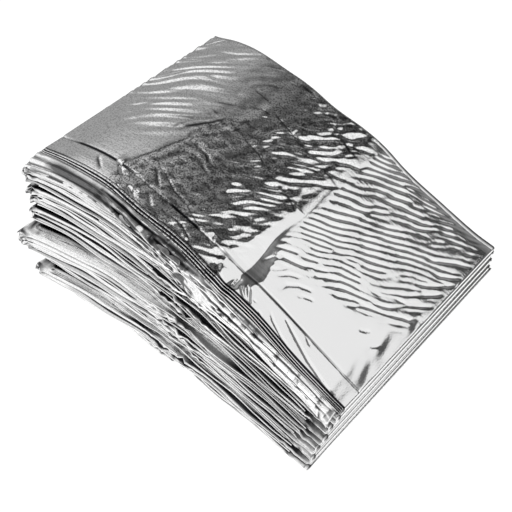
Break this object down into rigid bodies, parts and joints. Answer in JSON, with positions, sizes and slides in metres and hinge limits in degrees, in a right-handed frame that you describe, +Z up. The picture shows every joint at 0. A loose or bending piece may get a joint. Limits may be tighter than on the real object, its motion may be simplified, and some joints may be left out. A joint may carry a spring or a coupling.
{
  "type": "emergency foil blanket",
  "caption": "Folded emergency foil blanket: thin bright metallised film laid back and forth in panels, fanned open at one end and pressed flat at the other.",
  "frame": {"origin": "middle of the footprint, on the surface that the lowest panel lies on", "axes": "+Z up; +X along the panels towards their pressed end; +Y across the panels towards the back edge"},
  "size_m": [0.1528, 0.1264, 0.059],
  "materials": {
    "metallised_film": "mirror-bright metallised polyester film, creased and finely crinkled"
  },
  "bodies": {
    "root": {"foil_blanket": "metallised_film"}
  },
  "joints": []
}
